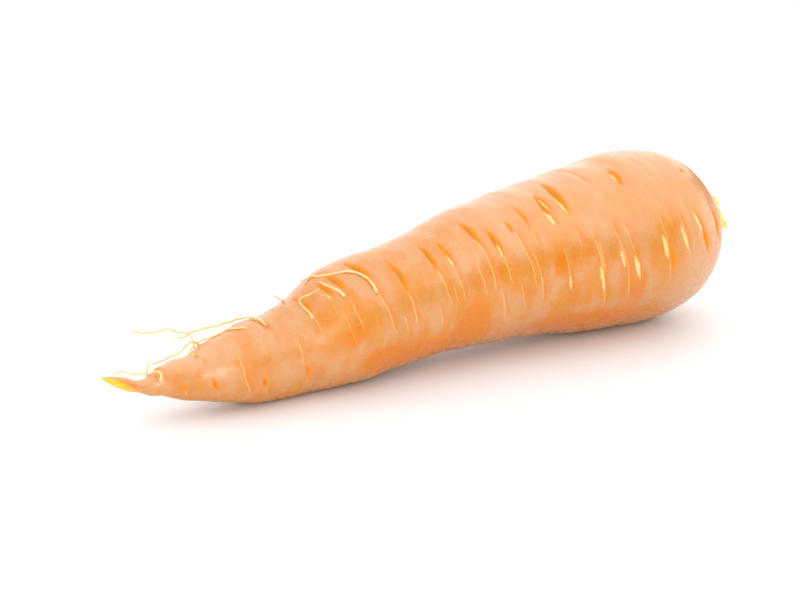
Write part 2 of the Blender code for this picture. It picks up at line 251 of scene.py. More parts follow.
# Leaf stalks: angle round the crown, distance from its centre, width, thickness, height in the middle
# and the slant of the knife cut.
STALKS = [
    (285, 6.0, 4.2, 1.4, 6.1, -0.48), (337, 6.1, 4.2, 1.4, 7.1, 0.36), (60, 5.6, 4.0, 1.5, 9.0, 0.12),
    (125, 6.0, 4.1, 1.4, 7.6, -0.10), (203, 5.8, 4.1, 1.4, 8.2, 0.10), (312, 4.4, 2.9, 1.2, 7.4, 0.15),
    (90, 3.7, 2.3, 1.2, 7.2, -0.12), (240, 3.8, 2.4, 1.2, 6.6, 0.10), (20, 2.0, 2.0, 0.9, 6.0, 0.10),
    (152, 2.0, 2.0, 0.9, 6.4, -0.15), (266, 1.9, 2.0, 0.9, 5.4, 0.20),
]

# How much wider a stalk's foot is, and how far its top leans out for a mm of height.
STALK_FLARE = 0.16
STALK_LEAN = 0.10

# A stalk's section, as shares of its width and thickness: how round its outside is, how wide its
# channel is, how far out the channel's rims are and how deep it is.
STALK_ROUND = 0.35
CHANNEL_WIDTH = 0.92
CHANNEL_RIM = 0.20
CHANNEL_DEPTH = 0.45

# Its mesh and seed, how deep it is rooted in the crown, its waist, and how far it bends at most.
STALK_SIDES = 26
STALK_LEVELS = 30
STALK_SEED = 30
STALK_ROOTED = 0.35
STALK_WAIST = (0.02, 9)
STALK_BEND = 0.3

# Its ribs: how many, how deep as a share of its size, and how soon they come up over its height.
STALK_RIBS = 11
RIB_DEPTH = 0.045
RIB_RISE = 4

# Its cut end: the height and rate of its ragged edge's waves, how the rings close in over it, and how
# deep its middle lies.
STALK_RAGGED = [(0.16, 0.9), (0.10, 2.3)]
STALK_CLOSING = (0.93, 0.8, 0.6, 0.35, 0.12)
STALK_DISH = 0.35

# The bud: its mesh, its radius at the foot and the tip, how blunt it is, how many leaves it is folded
# from, how deep and how twisted the folds are, how far it leans, its foot and height, and how far up a
# stalk its tip's colour is.
BUD_SIDES = 14
BUD_LEVELS = 12
BUD_RADIUS = 0.72
BUD_TIP = 0.05
BUD_BLUNT = 0.6
BUD_LEAVES = 3
BUD_FOLD = 0.28
BUD_TWIST = 1.2
BUD_LEAN = 0.25
BUD_FOOT = 0.2
BUD_HEIGHT = 2.9
BUD_RISE = 0.6

# Thickness at the base, then points from the base to the free end: how far along the root, the
# angle and the height over the skin.
ROOTLETS = [
    (0.60, [(39.8, -26, 0.7), (38.9, -6, 0.8), (38.3, 8, 0.8), (37, 20, 1.1), (33.8, 22, 1.6),
        (30.5, 22, 2.5), (27.3, 22, 3.6), (24, 23, 4.7), (21.8, 23, 5.7), (20, 21, 6.8),
        (18.1, 21, 7.6), (16.9, 22, 7.5), (15.3, 23, 7.8), (13.2, 23, 8.7), (11.3, 22, 10.4),
        (9.6, 21, 11.5)]),
    (0.50, [(22.6, -17, 0.7), (22.4, 8, 0.8), (22.9, 18, 1.1), (23.9, 16, 1.8), (25.8, 15, 1.6),
        (27.9, 13, 1.0), (29.9, 10, 0.7), (31.7, 5, 0.7), (33.3, -7, 0.7), (35.1, -18, 0.7)]),
    (0.50, [(25.8, 30, 0.7), (25.2, 25, 1.6), (23.6, 20, 2.6), (22.1, 18, 2.5), (20.6, 19, 2.0),
        (19.7, 21, 1.6), (18.1, 24, 1.3), (16.1, 29, 1.1), (14.1, 33, 1.4), (12.6, 34, 2.0)]),
    (0.50, [(12.6, -66, 0.3), (13.1, -54, 0.4), (13.2, -41, 0.5), (12.9, -24, 0.6), (12.2, -11, 0.8),
        (11, -5, 1.3), (9.3, -3, 1.8), (7.9, -1, 2.0), (6.1, 0, 1.8), (4.4, 1, 1.5), (2.5, 4, 0.9)]),
    (0.60, [(65.5, -53, 0.7), (65.2, -44, 0.7), (64.6, -35, 0.7), (63.6, -26, 0.7), (62.6, -21, 0.7),
        (60.1, -14, 0.8), (57.6, -7, 0.8), (56.2, 3, 0.9), (55.8, 10, 1.0), (54.6, 12, 1.4),
        (53.1, 11, 1.9)]),
    (0.60, [(58.1, -42, 0.7), (57.5, -35, 0.7), (56.9, -30, 0.7), (55.9, -19, 0.7), (55.4, -8, 0.7)]),
    (0.45, [(50.1, -44, 0.6), (49.8, -35, 0.6), (49.4, -27, 0.6), (49.3, -19, 0.7), (49.9, -12, 0.8),
        (50.9, -11, 0.7), (52.4, -15, 0.6), (54.6, -18, 0.6)]),
    (0.40, [(55.3, -41, 0.6), (55, -35, 0.6), (54.2, -28, 0.6), (53.4, -24, 0.6)]),
    (0.45, [(48.6, 16, 0.6), (47.8, 12, 1.1), (46, 11, 2.6), (45.2, 10, 3.7)]),
    (0.40, [(11.3, 30, 0.6), (11.3, 16, 1.6), (11.5, 6, 2.9), (12, 2, 4.0)]),
    (0.35, [(25, 37, 0.6), (24.8, 33, 1.5), (24.6, 29, 2.5), (24.2, 27, 3.4), (23.9, 24, 4.6)]),
    (0.35, [(23.8, 24, 4.7), (23, 26, 4.4), (22.4, 27, 4.6), (20.5, 27, 5.1), (19.2, 29, 4.8)]),
    (0.50, [(74, 110, 0.7), (76, 116, 1.6), (80, 118, 2.2), (86, 113, 1.4), (90, 106, 1.8)]),
    (0.50, [(57, 98, 0.7), (53, 96, 1.8), (47, 99, 3.2), (42, 95, 3.6), (36, 90, 4.8)]),
    (0.45, [(118, 94, 0.6), (121, 98, 1.2), (127, 97, 1.0)]),
]

# Their mesh: how many points round, how far apart the rings are, and the fewest rings.
ROOTLET_SIDES = 10
ROOTLET_STEP = 0.30
ROOTLET_FEWEST = 10

# A direction that no rootlet starts in, to set out the first ring by.
RING_START = (0.3, 0.9, 0.2)

# How much lower they lie than the solids' rootlets, and the lowest. Then how low the first point is of
# one that grows from the skin, and how deep it is rooted.
ROOTLET_SETTLE = 0.48
ROOTLET_LOWEST = 0.24
ROOTLET_FROM_SKIN = 1.0
ROOTLET_ROOTED = -0.2

# How much higher the points are taken to measure the distance between them.
PLACE_LIFT = 1.0

# How they wander: seed, how far, how many waves, their lengths, where from the base it comes up, and
# the least share that is left where they lie on the skin.
PATH_SEED = 60
ROOTLET_KINK = 0.12
KINK_COUNT = 3
KINK_LENGTHS = (2.5, 7.0)
KINK_START = (0.3, 2.0)
KINK_LEAST = 0.3

# Their thickness: the share left at the free end, the seed, depth and rates of its knobs, how much wider
# the foot is and for how many rings, and how the last rings close in.
ROOTLET_TAPER = 0.75
KNOB_SEED = 80
ROOTLET_KNOBS = [(0.07, 20, 34), (0.05, 50, 80)]
ROOTLET_FOOT = 0.6
FOOT_RINGS = 4
ROOTLET_CLOSING = (0.9, 0.7, 0.35)

# ---- colours, as 8-bit screen values

SKIN_PALE = (199, 141, 88)
SKIN_MID = (199, 128, 42)
# SKIN_DEEP is the skin's deep tone, and also the painted shade beside lines and scars.
SKIN_DEEP = (205, 114, 0)
# Paler skin for the tail and shoulder, also used as painted sheen on top of the tail and body.
PALE_SKIN_AND_SHEEN = (216, 166, 127)
# The hollows' gold and darker middle: partly the skin's own colour, partly painted shade.
HOLLOW_GOLD_AND_SHADE = (216, 124, 0)
HOLLOW_CORE_AND_SHADE = (184, 112, 0)
LINE_COLOUR = (244, 196, 120)
SCAR_COLOUR = (244, 204, 130)
SNAP_COLOUR = (247, 190, 14)
SNAP_DARK = (240, 170, 12)
CROWN_TAN = (226, 182, 144)
CROWN_GREEN = (176, 165, 66)
STALK_PALE = (230, 222, 148)
STALK_GREEN = (214, 206, 80)
STALK_BROWN = (165, 134, 44)
ROOTLET_PALE = (238, 204, 142)
ROOTLET_TAN = (234, 186, 118)
FLOOR_COLOUR = (232, 232, 232)

# ---- patterns and finish

# Noise patterns: the size of their spots in mm, detail, stretch along X, Y and Z, and the values between
# which they go from none to full.
EVEN = (1.0, 1.0, 1.0)
SKIN_PATCHES = (12.0, 3.0, (0.8, 1.2, 1.2), 0.42, 0.60)
SKIN_CLOUDS = (5.0, 2.0, (0.6, 1.3, 1.3), 0.42, 0.62)
CROWN_SPOTS = (1.2, 4.0, (3.0, 1.0, 1.0), 0.40, 0.62)
CORE_FIBRES = (0.5, 3.0, (4.0, 1.0, 1.0), 0.42, 0.60)
STALK_STREAKS = (0.5, 4.0, (6.0, 1.0, 1.0), 0.38, 0.64)
STALK_BUNDLES = (0.45, 2.0, EVEN, 0.52, 0.62)
STALK_DRY_SPOTS = (1.4, 3.0, EVEN, 0.54, 0.66)
ROOTLET_SPOTS = (1.6, 3.0, EVEN, 0.35, 0.65)

# Noise that mottles marks and roughness, then the fine relief's, whose rows end with its depth in mm.
FLECKS = (0.5, 3.0, (0.6, 1.6, 1.6))
SKIN_GLOSS_NOISE = (3.0, 3.0, EVEN)
SKIN_GRAIN = (0.5, 3.0, EVEN, 0.008)
SKIN_RIPPLES = (2.6, 2.0, (0.5, 2.0, 2.0), 0.02)
SCAR_CORK = (0.3, 2.0, EVEN, 0.12)
STALK_GRAIN = (0.3, 3.0, (5.0, 1.0, 1.0), 0.06)
ROOTLET_GRAIN = (0.25, 3.0, EVEN, 0.04)
FLOOR_NOISE = (60.0, 3.0, EVEN)
NOISE_ROUGHNESS = 0.55

# Where a mask comes in: the value of its field or pattern where it starts and where it is full, and
# sometimes how strong it is there.
TONE_PALE = (0.1, 1.0, 0.0, 0.8)
TONE_DEEP = (-0.1, -0.9, 0.0, 0.9)
HOLLOW_EDGE = (0.05, 0.55)
HOLLOW_MOTTLE = (0.2, 0.5, 0.8, 1.0)
HOLLOW_MIDDLE = (0.60, 0.95, 0.0, 0.9)
LINE_EDGE = (0.18, 0.05)
LINE_BREAKS = (0.30, 0.50, 0.5, 1.0)
SCAR_EDGE = (1.05, 1.35)
STALK_RISE = (0.0, 0.75)
STALK_FOOT = (0.16, 0.0)
STALK_TOP = (0.82, 1.0)
ROOTLET_BASE = (0.06, 0.0)
ROUGH_SPOTS = (0.3, 0.7)

# How ragged the flecks make a scar's edge.
SCAR_RAGGED = 2.0

# How much of a colour is mixed in where its mask is full.
CLOUD_MIX = 0.45
SHADE_MIX = 0.7
LINE_MIX = 0.75
SCAR_MIX = 0.8
CROWN_MIX = 0.8
STREAK_MIX = 0.45
FOOT_MIX = 0.6
DRY_MIX = 0.7
TAN_MIX = 0.6

# Roughness, from the smoothest to the roughest spots, and what a field adds to the skin's.
SKIN_ROUGHNESS = (0.24, 0.32)
ADDED_ROUGHNESS = {"hollow": 0.70, "shade": 0.35, "crown": 0.25}
STALK_ROUGHNESS = (0.45, 0.65)
ROOTLET_ROUGHNESS = (0.5, 0.7)
FLOOR_ROUGHNESS = (0.55, 0.65)

# ---- floor, camera and lights

# The floor: half its width in m, and how far under the root it lies, in mm.
FLOOR_HALF = 6.0
FLOOR_DROP = 0.02

# The camera: its turn round the root and its tilt in degrees, its distance from the point it aims at and
# that point in the root's own frame in mm, its lens, and the nearest it sees in m.
CAMERA_TURN = -35.0
CAMERA_DOWN = 15.82
CAMERA_DISTANCE = 333.3
CAMERA_AIM = (79.95, 0.0, 18.20)
CAMERA_LENS = 60.0
CAMERA_NEAREST = 0.01

# The studio's even light, then its soft panels: name, size in m, radiance, place and aim.
WORLD_STRENGTH = 0.15
SOFTBOXES = [
    ("softbox_main", (1.75, 1.36), 1.56, (0.475, -0.335, 0.60), (0.475, -0.335, 0.0)),
    ("softbox_back", (5.0, 2.1), 1.66, (0.70, 1.65, 0.62), (0.70, 1.25, 0.02)),
    ("softbox_front", (1.20, 0.80), 5.2, (-0.75, -0.85, 0.18), (0.05, 0.0, 0.02)),
    ("softbox_right", (0.90, 0.60), 2.0, (1.25, -0.35, 0.22), (0.10, 0.0, 0.02)),
]


# ==== shape helpers

def smooth_curve(points, places, counts):
    """Smooth values through every point: each stretch is a cubic, as long as its places are apart."""
    p = np.asarray(points, float)
    h = np.linalg.norm(np.diff(np.asarray(places, float), axis=0), axis=1)
    slope = np.diff(p, axis=0) / h[:, None]
    inner = (slope[:-1] * h[1:, None] + slope[1:] * h[:-1, None]) / (h[:-1] + h[1:])[:, None]
    tangent = np.vstack([slope[:1], inner, slope[-1:]])
    out = []
    for i, count in enumerate(counts):
        for k in range(count):
            t = k / count
            out.append((2 * t**3 - 3 * t**2 + 1) * p[i] + (t**3 - 2 * t**2 + t) * h[i] * tangent[i]
                       + (3 * t**2 - 2 * t**3) * p[i + 1] + (t**3 - t**2) * h[i] * tangent[i + 1])
    out.append(p[-1])
    return np.array(out)


def root_line(counts, stations=STATIONS):
    """Rows of (along, sideways, height, radius) along the root, in mm."""
    profile = [(along, radius) for along, _, _, radius in stations]
    return smooth_curve(stations, profile, counts)


def lobed(angle, along):
    """How far the root's section is from round at an angle, as a factor on its radius."""
    start, end = LOBES_END
    fade = 1.0 - np.clip((along - start) / (end - start), 0.0, 1.0)
    wave = sum(size * np.cos(n * angle + turn + along / twist) for n, size, turn, twist in LOBES)
    return 1.0 + fade * wave


SPINE = root_line([SPINE_STEPS] * RIM, STATIONS[:RIM + 1])


def section(along):
    """Centre (y, z) and mean radius of the root's section, from the tail to the rim."""
    return [np.interp(along, SPINE[:, 0], SPINE[:, column]) for column in (1, 2, 3)]


def on_skin(along, angle, lift):
    """The point at a height over the skin, all in mm and radians."""
    y, z, radius = section(along)
    reach = radius * lobed(angle, along) + lift
    return np.array([along, y + reach * np.sin(angle), z + reach * np.cos(angle)])


def crown_floor(radius):
    """How far along the root the crown's surface is, at a distance from its centre."""
    dimple = sorted((r, x) for x, _, _, r in STATIONS[-4:])
    return np.interp(radius, [r for r, _ in dimple], [x for _, x in dimple])


def smoothstep(low, high, value):
    t = np.clip((value - low) / (high - low), 0.0, 1.0)
    return t * t * (3 - 2 * t)


def wrap(angle):
    """An angle in degrees, brought to -180..180."""
    return (angle + 180.0) % 360.0 - 180.0


def beside(angle, middle, full, end):
    """1 up to some degrees from a middle angle, and 0 further off than some more."""
    return smoothstep(end, full, np.abs(wrap(angle - middle)))


def waves(along, angle, depth, seed, length, turns):
    """A smooth seeded field from waves that go round up to that many times."""
    rng = np.random.default_rng(seed)
    total = 0.0
    for _ in range(WAVE_COUNT):
        wave = 2 * pi / (length * rng.uniform(*WAVE_LENGTHS)) * rng.choice((-1, 1))
        total = total + np.cos(wave * along + rng.integers(0, turns + 1) * angle + rng.uniform(0, 2 * pi))
    return depth * (total * np.sqrt(2 / WAVE_COUNT))


# ==== the skin

def seeded_strokes(seed, count, first, last, shortest, longest, *ranges):
    """Strokes placed at random, in the same form as the tables of marks."""
    rng = np.random.default_rng(seed)
    rows = []
    for _ in range(count):
        along = rng.uniform(*MARK_SPAN)
        start = rng.uniform(first, last)
        turn = rng.uniform(shortest, longest)
        lean = turn * rng.uniform(*MARK_LEAN)
        values = [rng.uniform(*limits) for limits in ranges]
        rows.append((along, start, along + lean, start - turn, *values))
    return rows


def strokes(along, angle, rows):
    """For each row of marks: how far along the stroke each skin point is, from -1 to 1, how many mm
    across it, positive towards the crown, and the row's own values."""
    for number, (start, start_angle, end, end_angle, *values) in enumerate(rows):
        half = (end_angle - start_angle) / 2
        t = wrap(angle - (start_angle + end_angle) / 2) / half
        wobble = sum(size * np.sin(rate * t + shift * number) for rate, shift, size in WOBBLE_WAVES)
        bend = MARK_WOBBLE * abs(half) * wobble
        yield t, along - (start + end) / 2 - t * (end - start) / 2 - bend, values


def fading(t):
    """A stroke's strength over its length, from its middle (1) to its ends (0)."""
    return 1.0 - smoothstep(MARK_FADE, 1.0, np.abs(t))


def crown_side(across):
    """How much a point is just beside a stroke, on the side towards the crown."""
    start, full, end = SHADE_SPAN
    return smoothstep(start, full, across) * smoothstep(end, full, across)


def line_fields(along, angle):
    """The distance across the nearest line, its strength, the shade beside the lines and their depth."""
    rows = LINES + seeded_strokes(*FAR_LINES) + seeded_strokes(*FAINT_LINES)
    nearest = np.full(along.shape, FAR_AWAY)
    line, shade, depth = (np.zeros(along.shape) for _ in range(3))
    for t, across, (power,) in strokes(along, angle, rows):
        here = power * fading(t)
        groove = np.exp(-(across / LINE_GROOVE) ** 2)
        depth += here * (LINE_DEPTH * groove + FOLD_DEPTH * crown_side(across))
        shade = np.maximum(shade, here * crown_side(across))
        closer = (here > LINE_FAINTEST) & (np.abs(across) < np.abs(nearest))
        nearest = np.where(closer, across, nearest)
        line = np.where(closer, here, line)
    return nearest, line * smoothstep(*LINE_REACH, np.abs(nearest)), shade, depth


def hollow_fields(along, angle):
    """How golden each point is with hollows, partly painted shade, and their depth."""
    gold_and_shade, depth = np.zeros(along.shape), np.zeros(along.shape)
    for t, across, (width, power) in strokes(along, angle, HOLLOWS + seeded_strokes(*FAR_HOLLOWS)):
        body = np.clip(1.0 - t * t, 0.0, 1.0)
        skew = np.where(across > 0, HOLLOW_SKEW, 1.0 / HOLLOW_SKEW)
        reach = width * skew * (HOLLOW_TIP + (1.0 - HOLLOW_TIP) * body)
        here = power * body ** HOLLOW_FADE * np.exp(-(across / reach) ** 2)
        gold_and_shade = np.maximum(gold_and_shade, here)
        depth += HOLLOW_DEPTH * width * here
    return gold_and_shade, depth


def scar_fields(along, angle):
    """How far inside a scar each point is (above 0), the shade beside the scars, and their depth."""
    scar = np.full(along.shape, NO_SCAR)
    shade, depth = np.zeros(along.shape), np.zeros(along.shape)
    middle, spread = SCAR_PIT
    for t, across, (width,) in strokes(along, angle, SCARS + seeded_strokes(*FAR_SCARS)):
        scar = np.maximum(scar, 1.0 - t * t - (across / width) ** 2)
        shade = np.maximum(shade, fading(t) * crown_side(across - SCAR_SHADE * width))
        pit = np.exp(-((across - middle * width) / (spread * width)) ** 2)
        depth += SCAR_DEPTH * fading(t) * pit
    return scar, shade, depth


def patch_tone(along, angle):
    """How pale (up to 1) or deep (down to -1) the skin is in its broad patches."""
    rng = np.random.default_rng(PATCH_SEED)
    far = [[rng.uniform(*limits) for limits in PATCH_RANGES] for _ in range(PATCH_COUNT)]
    total = 0.0
    for place, middle, length, turn, tone in PATCHES + far:
        spread = ((along - place) / length) ** 2 + (wrap(angle - middle) / turn) ** 2
        total = total + tone * np.exp(-spread ** 2)
    return np.clip(total, -1.0, 1.0)


def pale_and_sheen_places(along, angle):
    """How much paler the skin is: tail and shoulder, plus painted sheen on top of the tail and body."""
    all_round, sheen_on_top = PALE_TAIL_AND_SHEEN
    # The tail is a little paler all round, and much paler on top as painted sheen.
    tail = smoothstep(*PALE_TAIL_SPAN, along) * (all_round + sheen_on_top * beside(angle, *TAIL_SHEEN_SIDE))
    # Painted sheen: paler skin along the top of the body, where the soft highlight falls.
    body = PAINTED_TOP_SHEEN * smoothstep(*PAINTED_TOP_SHEEN_SPAN, along) * beside(angle, *PAINTED_TOP_SHEEN_SIDE)
    shoulder = sum(tone * smoothstep(start, end, along) for tone, start, end in PALE_SHOULDER)
    return np.maximum(tail, np.maximum(body, shoulder))


def skin_height(along, turn, radius, crown, mark_depth):
    """How far the skin stands out of the smooth root, or dips into it (below 0), in mm."""
    side = smoothstep(*THICK_WAVES, radius) * (1 - crown)
    height = side * sum(waves(along, turn, *row) for row in SKIN_WAVES)
    height -= mark_depth * smoothstep(*THICK_MARKS, radius)
    ring_depth, ring_rate = CROWN_RINGS
    dimple = ring_depth * np.sin(radius * ring_rate)
    height += crown * (dimple + waves(radius * CROWN_STRETCH, turn, *CROWN_WAVES))
    tail = smoothstep(*TAIL_END, along)
    height += tail * smoothstep(*THICK_TAIL, radius) * waves(along, turn, *TAIL_WAVES)
    return height


def skin_fields(rows, angles):
    """Every value that shapes or colours the skin, by name: arrays of rings by sides."""
    along = np.repeat(rows[:, :1], len(angles), axis=1)
    radius = np.repeat(rows[:, 3:4], len(angles), axis=1)
    angle = np.repeat(np.degrees(angles)[None, :], len(rows), axis=0)
    crown = np.where(along > CROWN_START, smoothstep(*CROWN_EDGE, radius), 0.0)
    marked = smoothstep(*MARKS_START, along) * smoothstep(*MARKS_END, along)
    line_across, line, line_shade, line_depth = line_fields(along, angle)
    gold_and_shade, hollow_depth = hollow_fields(along, angle)
    scar, scar_shade, scar_depth = scar_fields(along, angle)
    mark_depth = marked * (line_depth + hollow_depth + scar_depth)
    return {
        "height": skin_height(along, np.radians(angle), radius, crown, mark_depth),
        "line_across": line_across,
        "line": line * marked,
        "shade": np.maximum(line_shade, scar_shade) * marked,
        "gold_and_shade": gold_and_shade * marked,
        "scar": np.where(marked > 0.5, scar, NO_SCAR),
        "tone": patch_tone(along, angle),
        "crown": crown,
        "pale": pale_and_sheen_places(along, angle),
    }


def surface_normals(points):
    along = np.gradient(points, axis=0)
    around = np.roll(points, -1, axis=1) - np.roll(points, 1, axis=1)
    normal = np.cross(along, around)
    return normal / np.maximum(np.linalg.norm(normal, axis=2, keepdims=True), 1e-9)


def base_surface(rows, angles):
    """The smooth root, in the root's own frame: an array of rings by sides by XYZ."""
    along, y, z, radius = (rows[:, column:column + 1] for column in range(4))
    reach = radius * lobed(angles[None, :], along)
    return np.stack([along + 0 * reach, y + reach * np.sin(angles), z + reach * np.cos(angles)], axis=2)


def frame_shift(points):
    """What carries the root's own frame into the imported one, in mm."""
    low, high = (np.array(corner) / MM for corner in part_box("taproot"))
    middle_y = (points[:, :, 1].min() + points[:, :, 1].max()) / 2
    return np.array([high[0] - ROOT_LENGTH, (low[1] + high[1]) / 2 - middle_y,
                     low[2] - points[:, :, 2].min() - REST_DEPTH])


def snap_tail(points):
    """Presses what lies past the tail's break onto it. Returns the points and where the raw core shows."""
    normal = np.array(SNAP_NORMAL) / np.linalg.norm(SNAP_NORMAL)
    near_tail = points[:, :, 0] < SNAP_REACH
    along_rate, across_rate = SNAP_WAVES
    fibres = SNAP_FIBRES * np.sin(points[:, :, 0] * along_rate) * np.cos(points[:, :, 1] * across_rate)
    past = (points - np.array(SNAP_POINT)) @ normal + fibres
    move = np.where(near_tail, np.maximum(past, 0.0), 0.0)
    core = smoothstep(-SNAP_EDGE, SNAP_BLEND - SNAP_EDGE, past) * near_tail
    return points - move[:, :, None] * normal, core


def linked(name, data):
    """A new object of that data, in the scene."""
    obj = bpy.data.objects.new(name, data)
    bpy.context.scene.collection.objects.link(obj)
    return obj


def closed_grid(rings, sides):
    """Faces of a tube of rings, with a fan of triangles from one last point at each end."""
    ring = np.arange(rings - 1)[:, None] * sides
    side = np.arange(sides)[None, :]
    after = (side + 1) % sides
    quads = np.stack([ring + side, ring + sides + side, ring + sides + after, ring + after], axis=2)
    start, end = rings * sides, rings * sides + 1
    last = (rings - 1) * sides
    faces = quads.reshape(-1, 4).tolist()
    faces += [(start, k, (k + 1) % sides) for k in range(sides)]
    faces += [(end, last + (k + 1) % sides, last + k) for k in range(sides)]
    return faces


def tube_object(name, points, material, values=None, uv=True):
    """A closed object from an array of rings by sides by XYZ in mm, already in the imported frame."""
    rings, sides = points.shape[:2]
    ends = [points[0].mean(axis=0), points[-1].mean(axis=0)]
    mesh = bpy.data.meshes.new(name)
    mesh.from_pydata(np.vstack([points.reshape(-1, 3), ends]) * MM, [], closed_grid(rings, sides))
    for key, field in (values or {}).items():
        attribute = mesh.attributes.new(key, "FLOAT", "POINT")
        attribute.data.foreach_set("value", np.r_[field.reshape(-1), field[0].mean(), field[-1].mean()])
    if uv:
        unwrap_tube(mesh, rings, sides)
    mesh.shade_smooth()
    mesh.materials.append(material)
    mesh.update()
    return linked(name, mesh)


def unwrap_tube(mesh, rings, sides):
    """A flat layout of the tube: once round across, and its length up."""
    layer = mesh.uv_layers.new(name="OFBake")
    corner = np.empty(len(mesh.loops), int)
    mesh.loops.foreach_get("vertex_index", corner)
    ring, side = corner // sides, corner % sides
    u = side / sides
    starts = np.empty(len(mesh.polygons), int)
    totals = np.empty(len(mesh.polygons), int)
    mesh.polygons.foreach_get("loop_start", starts)
    mesh.polygons.foreach_get("loop_total", totals)
    face = np.repeat(np.arange(len(starts)), totals)
    pole = corner >= rings * sides
    highest = np.maximum.reduceat(np.where(pole, -1.0, u), starts)
    lowest = np.minimum.reduceat(np.where(pole, 9.0, u), starts)
    seam = highest - lowest > 0.5
    u = np.where(seam[face] & (u < 0.5), u + 1.0, u)
    middle = np.where(seam, 1.0 - 0.5 / sides, (highest + lowest) / 2)
    u = np.where(pole, middle[face], u)
    v = np.where(pole, np.where(corner == rings * sides, 0.0, 1.0), (ring + 1) / (rings + 1))
    layer.data.foreach_set("uv", np.column_stack([u, v]).reshape(-1))


def make_skin(material):
    lengths = np.linalg.norm(np.diff(np.array(STATIONS)[:, [0, 3]], axis=0), axis=1)
    counts = [max(2, round(length / SKIN_STEP)) for length in lengths]
    rows = root_line(counts)[:-1]
    angles = np.arange(SKIN_SIDES) * 2 * pi / SKIN_SIDES
    base = base_surface(rows, angles)
    shift = frame_shift(base)
    fields = skin_fields(rows, angles)
    points = base + fields.pop("height")[:, :, None] * surface_normals(base)
    points, fields["snap"] = snap_tail(points)
    points = points + shift
    points[:, :, 2] = np.maximum(points[:, :, 2], 0.0)
    skin = tube_object("carrot_skin", points, material, fields)
    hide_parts("taproot")
    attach(skin, "root")
    return shift


# ==== the crown

def stalk_outline(width, thickness):
    """A leaf stalk's section, round outside and channelled inside: points (across, outwards)."""
    half = width / 2
    outer = [(half * cos(t), thickness * STALK_ROUND * (1.0 + sin(t)))
             for t in np.linspace(pi, 0, STALK_SIDES)]
    inner = [(half * CHANNEL_WIDTH * cos(t), thickness * (CHANNEL_RIM - CHANNEL_DEPTH * sin(t) ** 2))
             for t in np.linspace(0, pi, STALK_SIDES)[1:-1]]
    return np.array(outer + inner)


def stalk_rings(number, stalk, levels):
    """Rings up a leaf stalk, ribbed along its length and ragged at the cut, round the crown's middle."""
    angle, distance, width, thickness, cut_height, slant = stalk
    outline = stalk_outline(width, thickness)
    centre = outline.mean(axis=0)
    spot = np.arange(len(outline))
    rng = np.random.default_rng(STALK_SEED + number)
    ribs = RIB_DEPTH * np.cos(spot * 2 * pi / len(outline) * STALK_RIBS + rng.uniform(*PHASE))
    bend = rng.uniform(-STALK_BEND, STALK_BEND)
    ragged = sum(depth * np.sin(spot * rate + rng.uniform(*PHASE)) for depth, rate in STALK_RAGGED)
    waist, waist_rate = STALK_WAIST
    side, up = sin(radians(angle)), cos(radians(angle))
    rings = []
    for t, inward in levels:
        swell = 1.0 + STALK_FLARE * (1.0 - t) ** 2 + waist * sin(waist_rate * t + number)
        ribbed = swell + ribs[:, None] * min(1.0, RIB_RISE * t)
        shape = centre + (outline - centre) * ribbed * inward
        y, z = shape[:, 0] + bend * t * t, distance + shape[:, 1]
        foot = crown_floor(np.hypot(y, z)) - CROWN[0] - STALK_ROOTED
        top = cut_height + slant * shape[:, 0] + ragged * inward
        height = foot + (top - foot) * t - STALK_DISH * (1.0 - inward)
        out = z + STALK_LEAN * height * t
        rings.append(np.column_stack([height, y * up + out * side, out * up - y * side]))
    return np.array(rings)


def make_stalk(number, stalk, material, shift):
    levels = [(t, 1.0) for t in np.linspace(0.0, 1.0, STALK_LEVELS)]
    levels += [(1.0, inward) for inward in STALK_CLOSING]
    rings = stalk_rings(number, stalk, levels)
    rise = np.repeat([[t] for t, _ in levels], rings.shape[1], axis=1)
    cut = np.repeat([[float(inward < 1.0)] for _, inward in levels], rings.shape[1], axis=1)
    points = rings + np.array(CROWN) + shift
    piece = tube_object(f"stalk_{number:02d}", points, material, {"rise": rise, "cut": cut}, uv=False)
    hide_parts(f"leaf_stalk_{number:02d}")
    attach(piece, "root")


def make_bud(material, shift):
    """The growing point: a few tiny folded leaves that lean together."""
    turns = np.arange(BUD_SIDES) * 2 * pi / BUD_SIDES
    rings = []
    for t in np.arange(BUD_LEVELS) / (BUD_LEVELS - 1):
        radius = BUD_RADIUS * (1 - t) ** BUD_BLUNT + BUD_TIP
        fold = 1.0 + BUD_FOLD * np.cos(BUD_LEAVES * turns + BUD_TWIST * t)
        y = radius * fold * np.sin(turns) + BUD_LEAN * t * t
        z = radius * fold * np.cos(turns)
        rings.append(np.column_stack([np.full(BUD_SIDES, BUD_FOOT + BUD_HEIGHT * t), y, z]))
    points = np.array(rings) + np.array(CROWN) + shift
    rise = np.repeat(np.linspace(0, BUD_RISE, BUD_LEVELS)[:, None], BUD_SIDES, axis=1)
    bud = tube_object("bud_leaves", points, material, {"rise": rise, "cut": 0 * rise}, uv=False)
    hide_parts("crown_bud")
    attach(bud, "root")


def make_crown(material, shift):
    for number, stalk in enumerate(STALKS, 1):
        make_stalk(number, stalk, material, shift)
    make_bud(material, shift)


# ==== the rootlets

def rootlet_knots(points):
    """A rootlet's points, lowered onto the skin, and rooted in it where it grows from it."""
    knots = [(along, radians(angle), max(lift - ROOTLET_SETTLE, ROOTLET_LOWEST))
             for along, angle, lift in points]
    if points[0][2] < ROOTLET_FROM_SKIN:
        knots[0] = (*knots[0][:2], ROOTLET_ROOTED)
    return knots


